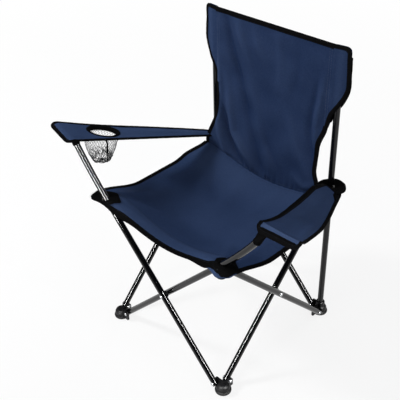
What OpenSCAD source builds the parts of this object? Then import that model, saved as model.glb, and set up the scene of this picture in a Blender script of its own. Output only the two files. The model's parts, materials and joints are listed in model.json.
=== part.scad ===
// Folding camp chair: a ring of four tube scissors on moulded corner joints,
// two tall rear posts, and a fabric seat, back and arms.
// Origin on the ground under the middle of the chair, which faces -Y.

/* [Frame] */
// Half the spacing between corner joints, middle to middle
corner_half = 198; // [190:1:210]
// Height of the scissor tubes' upper pivots
hub_z = 394; // [385:1:405]
// Height of the scissor tubes' lower pivots
foot_z = 20; // [19:0.5:22]
// Distance of a pivot from its corner's middle, along the chair's side
pivot_in = 22; // [21.5:0.5:24]
// Distance of a tube's plane from its corner's middle, to either side
plane_off = 9; // [9:0.1:9.5]
// Height of the rear posts' top ends
post_top_z = 796; // [780:1:799]

/* [Tubes] */
// Outside diameter of every tube
tube_d = 16; // [15:0.5:16]
// Wall thickness of every tube
tube_wall = 1; // [0.8:0.1:1.5]
// Length of a tube past its end pivots
tube_over = 7.5; // [7:0.5:8]
// Angle through which the arm posts curve towards upright
arm_turn = 7.6; // [4:0.1:9]
// Length of the arm posts above the seat corners
arm_len = 164; // [155:1:170]

/* [Rivets] */
// Diameter of the rivet shanks
rivet_d = 5; // [4:0.1:5]
// Diameter of the rivet heads
rivet_head_d = 10; // [8:0.5:11]
// Radial clearance of a rivet in its hole
rivet_gap = 0.05; // [0.02:0.01:0.1]

/* [Corner joints] */
// Radius of the feet and of the upper joints' skirts
pad_r = 21.5; // [20:0.5:22]
// Height of the feet's moulded block
block_h = 26; // [24:0.5:28]
// Radius of the boss in the middle of a corner joint
boss_r = 12.5; // [11.5:0.5:13]
// Radius of the ears around their pivots
ear_r = 8.5; // [8:0.5:10]
// Thickness of the ears
ear_t = 6; // [4:0.5:7]
// Height of the socket that holds a rear post
socket_h = 40; // [36:1:60]
// Height of the rear joints' sliding collar above their pivots
collar_h = 34; // [20:1:40]

/* [Seat and back] */
// Thickness of the fabric solids
cloth_t = 3; // [2:0.5:4]
// Half width of the seat between its side hems
seat_half = 238; // [230:1:242]
// Height of the seat at its corners
seat_corner_z = 416; // [415:1:420]
// Sag of the seat's front edge at its middle
front_sag = 50; // [20:1:55]
// Sag of the seat's rear edge at its middle
rear_sag = 30; // [15:1:40]
// Sag of the seat's side edges at their middle
side_sag = 40; // [10:1:45]
// Height of the backrest's top edge
back_top_z = 805; // [802:1:810]
// Reach of the backrest's sleeves outside the posts' middles
sleeve_reach = 31; // [26:1:34]

/* [Arms] */
// Height of the arms' front ends
arm_front_z = 565; // [560:1:568]
// Height of the arms' rear ends
arm_rear_z = 434; // [433:1:440]
// Radius of the cup holder's mouth
cup_r = 33; // [30:1:34]
// Depth of the cup holder's net below its mouth
cup_depth = 90; // [70:1:100]

/* [Hidden] */
$fn = 48;

tube_r = tube_d / 2;
rivet_r = rivet_d / 2;
hole_r = rivet_r + rivet_gap;
pivot_half = corner_half - pivot_in;
leg_run = 2 * pivot_half;
leg_rise = hub_z - foot_z;
leg_len = norm([leg_run, leg_rise]);
leg_angle = atan(leg_run / leg_rise);
cross_z = (foot_z + hub_z) / 2;
// Clear space around tubes and between stacked pieces
gap = 0.3;
// Gap between fabric pieces that part as the chair folds
cloth_gap = 0.4;
// Where an arm post leaves the leg's straight line, from the foot pivot
arm_start = round(100 * (leg_len + 22)) / 100;
arm_radius = round(10 * arm_len / (arm_turn * PI / 180)) / 10;
spacer_t = 2 * (plane_off - tube_r) - 0.4;
// Where a tube's end and plug swing, seen from the corner's middle
swing_r = 12.7;
slot_in = pivot_in - swing_r;
post_bore_r = tube_r + 0.08;

tube_black = [0.06, 0.06, 0.07];
plastic_black = [0.09, 0.09, 0.1];
metal = [0.72, 0.73, 0.75];
navy = [0.11, 0.17, 0.32];
binding_black = [0.03, 0.03, 0.04];
mesh_grey = [0.55, 0.56, 0.58];

// Corner k counts anticlockwise from the front right one
module at_corner(k) {
    rotate([0, 0, 90 * k]) translate([corner_half, -corner_half, 0]) children();
}

// Side k counts anticlockwise from the front one
module at_side(k) {
    rotate([0, 0, 90 * k]) children();
}

// ---- Tubes ----

// Cross holes for the rivets at a leg's two ends and its middle
module rivet_holes() {
    for (z = [0, leg_len / 2, leg_len])
        translate([0, 0, z]) rotate([90, 0, 0]) cylinder(h = 3 * tube_r, r = hole_r, center = true);
}

module straight_leg() {
    difference() {
        translate([0, 0, -tube_over]) cylinder(h = leg_len + 2 * tube_over, r = tube_r);
        translate([0, 0, -tube_over - 1])
            cylinder(h = leg_len + 2 * tube_over + 2, r = tube_r - tube_wall);
        rivet_holes();
    }
}

// Solid of radius r along a leg that goes on as an arm post, curved towards upright
module arm_leg_core(r, extra) {
    translate([0, 0, -tube_over - extra]) cylinder(h = arm_start + tube_over + extra, r = r);
    translate([arm_radius, 0, arm_start]) rotate([90, 0, 180])
        rotate_extrude(angle = arm_turn + extra / 40, $fn = 1080) translate([arm_radius, 0])
            circle(r = r, $fn = 48);
}

// The frame at a distance along the arm post, from a leg's own frame
module arm_post_at(along) {
    translate([arm_radius, 0, arm_start]) rotate([0, arm_turn * along / arm_len, 0])
        translate([-arm_radius, 0, 0]) children();
}

module arm_leg() {
    difference() {
        arm_leg_core(tube_r, 0);
        arm_leg_core(tube_r - tube_wall, 1);
        rivet_holes();
    }
}

// Frames of a side's outer and inner legs: foot pivot at the origin, tube along +Z
module outer_leg_frame(k) {
    at_side(k) translate([pivot_half, -corner_half - plane_off, foot_z])
        rotate([0, -leg_angle, 0]) children();
}

module inner_leg_frame(k) {
    at_side(k) translate([-pivot_half, -corner_half + plane_off, foot_z])
        rotate([0, leg_angle, 0]) mirror([1, 0, 0]) children();
}

module front_leg_outer() { color(tube_black) outer_leg_frame(0) arm_leg(); }
module front_leg_inner() { color(tube_black) inner_leg_frame(0) arm_leg(); }
module right_leg_outer() { color(tube_black) outer_leg_frame(1) straight_leg(); }
module right_leg_inner() { color(tube_black) inner_leg_frame(1) straight_leg(); }
module rear_leg_outer() { color(tube_black) outer_leg_frame(2) straight_leg(); }
module rear_leg_inner() { color(tube_black) inner_leg_frame(2) straight_leg(); }
module left_leg_outer() { color(tube_black) outer_leg_frame(3) straight_leg(); }
module left_leg_inner() { color(tube_black) inner_leg_frame(3) straight_leg(); }

module rear_post(k) {
    color(tube_black) at_corner(k) difference() {
        translate([0, 0, 8]) cylinder(h = post_top_z - 8, r = tube_r);
        translate([0, 0, 7]) cylinder(h = post_top_z, r = tube_r - tube_wall);
    }
}
module rear_post_right() { rear_post(1); }
module rear_post_left() { rear_post(2); }

// Plug with a rounded head that closes a tube's end
module end_cap() {
    rotate_extrude() {
        translate([0, -14]) square([tube_r - tube_wall - 0.05, 14]);
        intersection() {
            scale([1, 0.5]) circle(r = tube_r);
            square(tube_r);
        }
    }
}
module post_cap_right() { color(plastic_black) at_corner(1) translate([0, 0, post_top_z]) end_cap(); }
module post_cap_left() { color(plastic_black) at_corner(2) translate([0, 0, post_top_z]) end_cap(); }
module arm_cap_right() {
    color(plastic_black) inner_leg_frame(0) arm_post_at(arm_len) end_cap();
}
module arm_cap_left() {
    color(plastic_black) outer_leg_frame(0) arm_post_at(arm_len) end_cap();
}

// ---- Rivets and spacers ----

// Rivet along +Y from a domed head at y = y0 to one at y = y1
module rivet(y0, y1) {
    head_t = 2.2;
    translate([0, y0, 0]) rotate([-90, 0, 0]) rotate_extrude() {
        translate([0, -0.1]) square([rivet_r, y1 - y0 + 0.2]);
        mirror([0, 1]) rivet_head_profile(head_t);
        translate([0, y1 - y0]) rivet_head_profile(head_t);
    }
}
module rivet_head_profile(t) {
    intersection() {
        scale([1, 2 * t / rivet_head_d]) circle(d = rivet_head_d);
        square(rivet_head_d);
    }
}

module cross_rivet(k) {
    reach = plane_off + tube_r + gap;
    color(metal) at_side(k) translate([0, -corner_half, cross_z]) rivet(-reach, reach);
}
module front_cross_rivet() { cross_rivet(0); }
module right_cross_rivet() { cross_rivet(1); }
module rear_cross_rivet() { cross_rivet(2); }
module left_cross_rivet() { cross_rivet(3); }

// Washer that keeps a side's two tubes apart where they cross
module spacer(k) {
    color(plastic_black) at_side(k) translate([0, -corner_half, cross_z]) rotate([90, 0, 0])
        difference() {
            cylinder(h = spacer_t, r = tube_r + 1, center = true);
            cylinder(h = 2 * spacer_t, r = hole_r, center = true);
        }
}
module front_spacer() { spacer(0); }
module right_spacer() { spacer(1); }
module rear_spacer() { spacer(2); }
module left_spacer() { spacer(3); }

tube_side = -plane_off - tube_r - gap;
ear_side = ear_t - 0.7 + gap;

// The two rivets of the foot at corner k
module foot_rivets(k) {
    color(metal) at_corner(k) translate([0, 0, foot_z]) {
        translate([-pivot_in, 0, 0]) rivet(tube_side, ear_side);
        translate([0, pivot_in, 0]) rotate([0, 0, -90]) rivet(tube_side, ear_side);
    }
}
module foot_rivets_front_right() { foot_rivets(0); }
module foot_rivets_rear_right() { foot_rivets(1); }
module foot_rivets_rear_left() { foot_rivets(2); }
module foot_rivets_front_left() { foot_rivets(3); }

// The two rivets of the upper joint at corner k
module hub_rivets(k) {
    color(metal) at_corner(k) translate([0, 0, hub_z]) {
        translate([-pivot_in, 0, 0]) rivet(-ear_side, -tube_side);
        translate([0, pivot_in, 0]) rotate([0, 0, -90]) rivet(-ear_side, -tube_side);
    }
}
module hub_rivets_front_right() { hub_rivets(0); }
module hub_rivets_rear_right() { hub_rivets(1); }
module hub_rivets_rear_left() { hub_rivets(2); }
module hub_rivets_front_left() { hub_rivets(3); }

// ---- Moulded corner joints ----

// Ear in the XZ plane from the joint's middle to its pivot at x = -pivot_in
module ear(low, high) {
    rotate([90, 0, 0]) linear_extrude(ear_t) difference() {
        union() {
            translate([-pivot_in, 0]) circle(r = ear_r);
            translate([-pivot_in, low]) square([pivot_in, high - low]);
            translate([-pivot_in - ear_r, low]) square([ear_r, -low]);
        }
        translate([-pivot_in, 0]) circle(r = hole_r);
    }
}

ear_face = ear_t - 0.7;
head_recess_r = rivet_head_d / 2 + 0.8;

// Body of revolution trimmed to eight flat sides
module lobed(profile_r, h) {
    intersection() {
        rotate([0, 0, 22.5]) cylinder(h = h, r = profile_r, $fn = 8);
        children();
    }
}

// What the -X pivot has, repeated for the +Y one
module at_both_pivots() {
    for (turn = [0, -90]) rotate([0, 0, turn]) children();
}

// Trough in which a tube's end swings round its pivot
module foot_trough() {
    translate([-pivot_in, -0.7, foot_z]) rotate([90, 0, 0]) cylinder(h = 60, r = swing_r);
    translate([-60 - slot_in, -60.7, foot_z]) cube([60, 60, 60]);
    translate([-60 - pivot_in, -60.7, foot_z - swing_r]) cube([60, 60, 60]);
}

// Foot with its outer tube's pivot towards -X and its inner tube's towards +Y
module foot_shape(socket) {
    difference() {
        union() {
            lobed(pad_r + 1.5, block_h) rotate_extrude() foot_profile();
            if (socket) rotate_extrude() boss_profile(socket_h);
            at_both_pivots() translate([0, ear_face, foot_z]) ear(2 - foot_z, ear_r);
        }
        at_both_pivots() {
            foot_trough();
            translate([-pivot_in, ear_face, foot_z]) rotate([-90, 0, 0])
                cylinder(h = 40, r = head_recess_r);
        }
        // Groove of the tread
        translate([0, 0, -1]) rotate_extrude() translate([12.5, 0]) square([3, 2.2]);
        if (socket) translate([0, 0, 8]) cylinder(h = socket_h, r = tube_r + 0.02);
    }
}

// Half section of a foot's block: flange on the ground, waist, and rounded shoulder
module foot_profile() {
    polygon([[0, 0], [pad_r - 3, 0], [pad_r - 0.6, 2.4], [pad_r, 5.5], [pad_r - 0.8, 8.2], [pad_r - 3, 9.4],
        [pad_r - 3.4, block_h - 8], [pad_r - 5.5, block_h - 3.5], [pad_r - 9.5, block_h - 0.8],
        [pad_r - 12, block_h], [0, block_h]]);
}

module boss_profile(h) {
    polygon([[0, 0], [boss_r, 0], [boss_r, h - 3], [boss_r - 0.8, h - 1.2], [boss_r - 2.5, h], [0, h]]);
}

module foot(k) {
    color(plastic_black) at_corner(k) foot_shape(k == 1 || k == 2);
}
module foot_front_right() { foot(0); }
module foot_rear_right() { foot(1); }
module foot_rear_left() { foot(2); }
module foot_front_left() { foot(3); }

// Upper joint with one pivot towards -X and one towards +Y, pivots at z = 0
module hub_shape(collar) {
    floor_z = collar ? -14 : -8;
    skirt_r = collar ? pad_r - 1 : 13;
    bar_top = collar ? ear_r : 4.5;
    peg_h = 16;
    difference() {
        union() {
            translate([0, 0, floor_z]) lobed(skirt_r + 1, -floor_z) rotate_extrude()
                polygon([[0, 0], [skirt_r - 3, 0], [skirt_r - 0.8, 1], [skirt_r, 3], [skirt_r, -floor_z - 3],
                    [skirt_r - 1.2, -floor_z - 1], [skirt_r - 4, -floor_z], [0, -floor_z]]);
            // In front the ears' bars stay low, under the leaning arm post
            at_both_pivots() translate([0, 0.7, 0]) ear(-ear_r, bar_top);
            if (collar) translate([0, 0, floor_z]) rotate_extrude() boss_profile(collar_h - floor_z);
            else translate([-4, -5, floor_z]) cylinder(h = peg_h - floor_z, r = 4);
        }
        // Slots for the tubes
        translate([-60 - slot_in, 0.7, -50]) cube([60, 60, 100]);
        translate([0.7, slot_in, -50]) cube([60, 60, 100]);
        at_both_pivots() translate([-pivot_in, -ear_face, 0]) rotate([90, 0, 0])
            cylinder(h = 40, r = head_recess_r);
        if (collar) translate([0, 0, -50]) cylinder(h = 150, r = post_bore_r);
    }
}

module hub(k) {
    color(plastic_black) at_corner(k) translate([0, 0, hub_z]) hub_shape(k == 1 || k == 2);
}
module hub_front_right() { hub(0); }
module hub_rear_right() { hub(1); }
module hub_rear_left() { hub(2); }
module hub_front_left() { hub(3); }

// ---- Fabric ----

function mix(a, b, t) = a + (b - a) * t;
function smooth(t) = let (s = max(0, min(1, t))) s * s * (3 - 2 * s);

// Closed sheet over a grid: at(u, v) gives the top surface and depth is the
// vector from it to the underside
module sheet(at, depth, nu, nv) {
    row = nu + 1;
    count = row * (nv + 1);
    top = [for (j = [0:nv]) for (i = [0:nu]) at(i / nu, j / nv)];
    rim = concat([for (i = [0:nu - 1]) i], [for (j = [0:nv - 1]) nu + j * row],
        [for (i = [nu:-1:1]) nv * row + i], [for (j = [nv:-1:1]) j * row]);
    n = len(rim);
    polyhedron(points = concat(top, [for (p = top) p + depth]), faces = concat(
        [for (j = [0:nv - 1]) for (i = [0:nu - 1]) for (f = cell_faces(i + j * row, row)) f],
        [for (j = [0:nv - 1]) for (i = [0:nu - 1]) for (f = cell_faces(i + j * row, row))
            [for (m = [2:-1:0]) f[m] + count]],
        [for (m = [0:n - 1]) [rim[m], rim[(m + 1) % n], rim[m] + count]],
        [for (m = [0:n - 1]) [rim[m] + count, rim[(m + 1) % n], rim[(m + 1) % n] + count]]));
}
function cell_faces(a, row) = [[a, a + row, a + 1], [a + 1, a + row, a + row + 1]];

front_edge_y = -200;
seam_y = 168;
// Share of the cross sag left at x: none from just inside the corner joints outwards
function cross_part(x) = max(0, 1 - (x / (corner_half - 8)) ^ 2) ^ 1.5;
// Share of the side hems' sag left at y
function side_part(y) = 1 - smooth((abs(y) - 60) / 150);
function seat_z(x, y) = seat_corner_z - side_sag * side_part(y)
    - mix(front_sag, rear_sag, (y - front_edge_y) / (seam_y - front_edge_y)) * cross_part(x);
// The seat narrows a little towards its front tips and more towards the back
function seat_half_at(y) = seat_half - 5 * smooth((-y - 200) / 25) - 23 * smooth((y - 100) / 70);
// The front tips reach forward, the left one further as its arm post is the outer tube
function seat_front_y(side) = front_edge_y - 24 * side ^ 2 + 8 * side;

// Clear way through the seat for the arm posts
module arm_post_ways() {
    outer_leg_frame(0) arm_leg_core(tube_r + 2.5, 0);
    inner_leg_frame(0) arm_leg_core(tube_r + 2.5, 0);
}

module seat_front() {
    color(navy) difference() {
        sheet(function(u, v) let (
                side = 2 * u - 1,
                y0 = mix(seat_front_y(side), -cloth_gap / 2, v),
                x = side * seat_half_at(y0))
            [x, y0, seat_z(x, y0)], [0, 0, -cloth_t], 20, 12);
        arm_post_ways();
    }
}

module seat_rear() {
    color(navy) sheet(function(u, v) let (
            y = mix(cloth_gap / 2, seam_y, v),
            x = (2 * u - 1) * seat_half_at(y))
        [x, y, seat_z(x, y)], [0, 0, -cloth_t], 20, 10);
}

stitch_x = corner_half - 15;
back_y = corner_half - tube_r - 1.2;
// Front face of the back panel, forward of the posts towards its foot
function back_face_y(z) = back_y - cloth_t - 18 * smooth((640 - z) / 230);

module back_panel() {
    half = stitch_x - cloth_gap;
    color(navy) sheet(function(u, v) let (
            x = (2 * u - 1) * half,
            z = mix(seat_z(x, seam_y) + 2 * cloth_gap, back_top_z, v))
        [x, back_face_y(z), z], [0, cloth_t, 0], 16, 14);
}

// Outline of a sleeve seen from the front, from the post's middle
module sleeve_outline() {
    polygon([[-15, 580], [-4, 612], [8, 648], [20, 672], [sleeve_reach - 4, 692], [sleeve_reach, 712],
        [sleeve_reach, back_top_z - 16], [sleeve_reach - 5, back_top_z - 4],
        [sleeve_reach - 14, back_top_z], [-15, back_top_z]]);
}

// Flat loop of fabric round a post, open at both ends
module sleeve() {
    wall = 1.2;
    difference() {
        intersection() {
            linear_extrude(back_top_z) sleeve_section(0);
            translate([0, 40, 0]) rotate([90, 0, 0]) linear_extrude(80) sleeve_outline();
        }
        linear_extrude(2 * back_top_z, center = true) sleeve_section(wall);
    }
}
module sleeve_section(inset) {
    front = -tube_r - 1.2 - cloth_t / 2;
    hull() {
        circle(r = tube_r + 2.4 - inset);
        translate([-14.8 + inset, front]) square([0.2, 1.6 - inset]);
        translate([sleeve_reach - 1.5, -4]) circle(r = max(0.2, 1.5 - inset), $fn = 16);
    }
}
module sleeve_right() { color(navy) at_corner(1) rotate([0, 0, -90]) sleeve(); }
module sleeve_left() { color(navy) at_corner(2) rotate([0, 0, 180]) mirror([1, 0, 0]) sleeve(); }

// Arm corners: front -X, front +X, rear -X, rear +X
arm_corners_left = [[-385, -222, arm_front_z + 8], [-291, -234, arm_front_z - 9],
    [-222, 182, arm_rear_z], [-190, 165, arm_rear_z]];
arm_corners_right = [[290, -178, arm_front_z + 8], [382, -180, arm_front_z + 8],
    [190, 165, arm_rear_z], [232, 190, arm_rear_z + 6]];
function on_arm(c, u, v) = mix(mix(c[0], c[1], u), mix(c[2], c[3], u), v);
// The right arm hangs slack: its middle sags and its outer edge turns down
function right_arm_sag(u, v) = 4 * v * (1 - v) * [14 * u, 0, -10 - 22 * u];
// Place and direction of the cup holder's mouth on the left arm
cup_u = 0.44;
cup_v = 0.28;
cup_at = on_arm(arm_corners_left, cup_u, cup_v);
function arm_across(c, v) = mix(c[1] - c[0], c[3] - c[2], v);
function arm_along(c, u) = mix(c[2] - c[0], c[3] - c[1], u);
cup_normal = let (n = cross(arm_across(arm_corners_left, cup_v), arm_along(arm_corners_left, cup_u)))
    n / norm(n);

// Frame of the cup holder's mouth, in the left arm's plane
module cup_mouth() {
    translate(cup_at) rotate([-asin(cup_normal[1]), atan2(cup_normal[0], cup_normal[2]), 0]) children();
}

module arm_right() {
    color(navy) sheet(function(u, v) on_arm(arm_corners_right, u, v) + right_arm_sag(u, v),
        [0, 0, -cloth_t], 4, 10);
}

module arm_left() {
    color(navy) difference() {
        union() {
            sheet(function(u, v) on_arm(arm_corners_left, u, v), [0, 0, -cloth_t], 4, 8);
            cup_mouth() translate([0, 0, -cloth_t]) cylinder(h = cloth_t, r = cup_r + 7);
        }
        cup_mouth() cylinder(h = 60, r = cup_r + 2, center = true);
    }
}

// Stiff bound ring round the cup holder's mouth
module cup_ring() {
    color(binding_black) cup_mouth() rotate_extrude()
        translate([cup_r + 3.5, 3.4]) scale([1, 0.6]) circle(r = 3.5, $fn = 24);
}

// Hanging net of the cup holder
module cup_net() {
    top_r = cup_r + 4;
    base_r = 0.7 * cup_r;
    wall = 1.6;
    top_z = cup_at[2];
    color(mesh_grey) difference() {
        translate([cup_at[0], cup_at[1], top_z - cup_depth]) rotate_extrude() difference() {
            polygon([[0, 0], [base_r - 3, 0], [base_r, 3], [top_r, cup_depth - 12],
                [top_r, cup_depth + 30], [0, cup_depth + 30]]);
            polygon([[0, wall], [base_r - 4, wall], [base_r - wall, 4], [top_r - wall, cup_depth - 12],
                [top_r - wall, cup_depth + 40], [0, cup_depth + 40]]);
        }
        cup_mouth() translate([-60, -60, -cloth_t - 3 * cloth_gap]) cube([120, 120, 80]);
    }
}

// Sewn tube under an arm's front that holds the post's capped end
module arm_pocket() {
    arm_post_at(arm_len - 14.5) difference() {
        cylinder(h = 27, r = tube_r + 2.2, center = true);
        cylinder(h = 30, r = tube_r + 0.7, center = true);
    }
}
module arm_pocket_right() {
    color(binding_black) inner_leg_frame(0) arm_pocket();
}
module arm_pocket_left() {
    color(binding_black) outer_leg_frame(0) arm_pocket();
}

// Black end of an arm, with an eyelet that lies round the rear post on the joint's collar
module arm_end() {
    end_r = 28;
    color(binding_black) translate([0, 0, hub_z + collar_h]) linear_extrude(2.2) difference() {
        union() {
            circle(r = end_r);
            polygon([[-8, -33], [end_r + 6, -12], [end_r, 8], [-end_r, 0]]);
        }
        circle(r = tube_r + 1);
    }
}
module arm_end_right() { translate([corner_half, corner_half, 0]) arm_end(); }
module arm_end_left() { translate([-corner_half, corner_half, 0]) mirror([1, 0, 0]) arm_end(); }

// Black reinforcement sewn over the front right corner, following the seat
module patch_shape() {
    patch_t = 1.2;
    lift = 0.5;
    intersection() {
        sheet(function(u, v) let (x = mix(168, 240, u), y = mix(-240, -170, v))
            [x, y, seat_z(x, y) + patch_t + lift], [0, 0, -patch_t], 6, 6);
        translate([0, 0, hub_z]) linear_extrude(50)
            polygon([[232, -222], [208, -220], [174, -200], [174, -176], [208, -174], [234, -190]]);
    }
}
module corner_patch_right() {
    color(binding_black) difference() {
        patch_shape();
        arm_post_ways();
    }
}
module corner_patch_left() {
    color(binding_black) difference() {
        mirror([1, 0, 0]) patch_shape();
        arm_post_ways();
    }
}

foot_front_right();
foot_rear_right();
foot_rear_left();
foot_front_left();
hub_front_right();
hub_rear_right();
hub_rear_left();
hub_front_left();
front_leg_outer();
right_leg_outer();
rear_leg_outer();
left_leg_outer();
front_leg_inner();
right_leg_inner();
rear_leg_inner();
left_leg_inner();
rear_post_right();
rear_post_left();
post_cap_right();
post_cap_left();
arm_cap_right();
arm_cap_left();
front_cross_rivet();
right_cross_rivet();
rear_cross_rivet();
left_cross_rivet();
front_spacer();
right_spacer();
rear_spacer();
left_spacer();
foot_rivets_front_right();
foot_rivets_rear_right();
foot_rivets_rear_left();
foot_rivets_front_left();
hub_rivets_front_right();
hub_rivets_rear_right();
hub_rivets_rear_left();
hub_rivets_front_left();
seat_front();
seat_rear();
back_panel();
sleeve_right();
sleeve_left();
arm_right();
arm_left();
arm_pocket_right();
arm_pocket_left();
cup_ring();
cup_net();
arm_end_right();
arm_end_left();
corner_patch_right();
corner_patch_left();
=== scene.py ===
# Folding camp chair: fabric, finishes, camera and light around the CAD frame
import bpy
import json
import math
import numpy as np
from mathutils import Vector, Matrix

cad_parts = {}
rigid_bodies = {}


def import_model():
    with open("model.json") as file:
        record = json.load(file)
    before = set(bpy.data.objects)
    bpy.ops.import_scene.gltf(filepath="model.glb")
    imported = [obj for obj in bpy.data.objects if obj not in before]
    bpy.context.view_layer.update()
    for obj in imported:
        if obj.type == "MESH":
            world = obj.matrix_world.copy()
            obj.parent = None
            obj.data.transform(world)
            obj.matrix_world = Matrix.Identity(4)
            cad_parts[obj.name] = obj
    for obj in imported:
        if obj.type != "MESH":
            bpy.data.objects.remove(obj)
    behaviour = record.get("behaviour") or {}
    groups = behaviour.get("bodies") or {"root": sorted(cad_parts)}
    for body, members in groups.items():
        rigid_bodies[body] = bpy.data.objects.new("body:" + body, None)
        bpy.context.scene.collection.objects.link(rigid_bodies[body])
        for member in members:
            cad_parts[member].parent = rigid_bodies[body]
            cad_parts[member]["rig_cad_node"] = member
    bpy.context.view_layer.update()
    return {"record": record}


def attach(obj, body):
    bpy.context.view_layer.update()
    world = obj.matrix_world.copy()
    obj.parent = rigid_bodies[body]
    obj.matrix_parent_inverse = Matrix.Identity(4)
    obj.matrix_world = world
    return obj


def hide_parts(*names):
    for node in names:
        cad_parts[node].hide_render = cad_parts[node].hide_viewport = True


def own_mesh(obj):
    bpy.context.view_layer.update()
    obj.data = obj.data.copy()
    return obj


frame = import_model()
bpy.context.scene.view_settings.view_transform = "Standard"

# ---- camera


def stand(o, right, up, back, at):
    """Puts a camera or light in the scene at a place, its own axes along these directions."""
    m = Matrix((right, up, back)).transposed().to_4x4()
    m.translation = at
    o.matrix_world = m
    bpy.context.scene.collection.objects.link(o)


def make_camera(azimuth, elevation, roll, distance, target, lens):
    """Camera that looks at the target. Angles are in degrees, azimuth from the chair's front towards +X."""
    a, e, r = math.radians(azimuth), math.radians(elevation), math.radians(roll)
    back = Vector((math.sin(a) * math.cos(e), -math.cos(a) * math.cos(e), math.sin(e)))
    level = Vector((math.cos(a), math.sin(a), 0.0))
    upright = back.cross(level)
    right = level * math.cos(r) + upright * math.sin(r)
    up = upright * math.cos(r) - level * math.sin(r)
    data = bpy.data.cameras.new("camera")
    data.lens = lens
    data.sensor_width = 36.0
    cam = bpy.data.objects.new("camera", data)
    stand(cam, right, up, back, Vector(target) + back * distance)
    bpy.context.scene.camera = cam


make_camera(azimuth=46.1, elevation=35.9, roll=-1.9, distance=1.8874,
            target=(0.0052, -0.0720, 0.4367), lens=69.23)

# ---- materials


class Nodes:
    """Short names for building the node tree of a material or world."""

    def __init__(self, owner):
        owner.use_nodes = True
        self.tree = owner.node_tree
        self.tree.nodes.clear()

    def add(self, kind, **values):
        """New node; each value goes to its attribute, or else its socket, of that name."""
        n = self.tree.nodes.new(kind)
        for k, v in values.items():
            if hasattr(n, k):
                setattr(n, k, v)
            else:
                n.inputs[k].default_value = v
        return n

    def link(self, a, b):
        self.tree.links.new(a, b)

    def math(self, how, a, b):
        m = self.add("ShaderNodeMath", operation=how)
        for i, x in enumerate((a, b)):
            if isinstance(x, (int, float)):
                m.inputs[i].default_value = x
            else:
                self.link(x, m.inputs[i])
        return m.outputs[0]

    def blend(self, share, first, second, out):
        """Leads a mix of two shaders to the output."""
        m = self.add("ShaderNodeMixShader")
        for source, socket in zip((share, first, second), m.inputs):
            self.link(source, socket)
        self.link(m.outputs[0], out.inputs[0])


class Look(Nodes):
    """A material with one principled shader."""

    def __init__(self, name, base, rough, metallic=0.0, shine=0.5):
        self.mat = bpy.data.materials.new(name)
        super().__init__(self.mat)
        self.out = self.add("ShaderNodeOutputMaterial")
        self.bsdf = self.add("ShaderNodeBsdfPrincipled")
        self.link(self.bsdf.outputs[0], self.out.inputs[0])
        for socket, value in (("Base Color", (*base, 1)), ("Roughness", rough), ("Metallic", metallic),
                              ("Specular IOR Level", shine)):
            self.bsdf.inputs[socket].default_value = value

    def coords(self, kind):
        return self.add("ShaderNodeTexCoord").outputs[kind]

    def feed(self, kind, source, socket, out=0, **values):
        """New node with the source led to one of its sockets; gives its output."""
        n = self.add(kind, **values)
        self.link(source, n.inputs[socket])
        return n.outputs[out]

    def noise(self, vector, scale, detail=3.0, rough=0.5):
        return self.feed("ShaderNodeTexNoise", vector, "Vector", Scale=scale, Detail=detail, Roughness=rough)

    def remap(self, value, low, high, a, b):
        ends = {"From Min": low, "From Max": high, "To Min": a, "To Max": b}
        return self.feed("ShaderNodeMapRange", value, "Value", **ends)

    def wave(self, vector, scale, direction):
        return self.feed("ShaderNodeTexWave", vector, "Vector", "Fac", wave_type="BANDS", wave_profile="SIN",
                         bands_direction=direction, Scale=scale)

    def colour(self, factor, dark, light):
        """Base colour from dark to light by the factor."""
        m = self.add("ShaderNodeMix", data_type="RGBA")
        m.inputs[6].default_value = (*dark, 1)
        m.inputs[7].default_value = (*light, 1)
        self.link(factor, m.inputs[0])
        self.link(m.outputs[2], self.bsdf.inputs["Base Color"])
        return m

    def bump(self, height, strength, distance):
        raised = self.feed("ShaderNodeBump", height, "Height", Strength=strength, Distance=distance)
        self.link(raised, self.bsdf.inputs["Normal"])


def enamel():
    """Glossy black enamel on steel tube, a little duller in patches."""
    n = Look("enamel", (0.003, 0.003, 0.0035), 0.05, 0.0, 0.3)
    o = n.coords("Object")
    n.link(n.remap(n.noise(o, 9, 4), 0.35, 0.7, 0.04, 0.07), n.bsdf.inputs["Roughness"])
    n.colour(n.remap(n.noise(o, 60, 3), 0.45, 0.8, 0, 1), (0.002, 0.002, 0.0025), (0.004, 0.004, 0.0045))
    return n.mat


def plastic():
    """Moulded black nylon, fine grained, rubbed a little lighter in places."""
    n = Look("moulded_plastic", (0.008, 0.008, 0.009), 0.42, 0.0, 0.2)
    o = n.coords("Object")
    n.link(n.remap(n.noise(o, 45, 4), 0.3, 0.75, 0.34, 0.55), n.bsdf.inputs["Roughness"])
    n.colour(n.remap(n.noise(o, 30, 5, 0.6), 0.45, 0.8, 0, 1), (0.005, 0.005, 0.006), (0.015, 0.015, 0.016))
    n.bump(n.noise(o, 1500, 2), 0.25, 0.0003)
    return n.mat


def steel():
    """Zinc plated rivet with fine turning marks."""
    n = Look("zinc_steel", (0.55, 0.56, 0.58), 0.3, 1.0)
    o = n.coords("Object")
    n.link(n.remap(n.noise(o, 300, 3), 0.3, 0.7, 0.22, 0.42), n.bsdf.inputs["Roughness"])
    n.colour(n.remap(n.noise(o, 120, 4), 0.35, 0.75, 0, 1), (0.42, 0.43, 0.45), (0.68, 0.69, 0.70))
    n.bump(n.noise(o, 900, 2), 0.15, 0.0003)
    return n.mat


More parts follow.
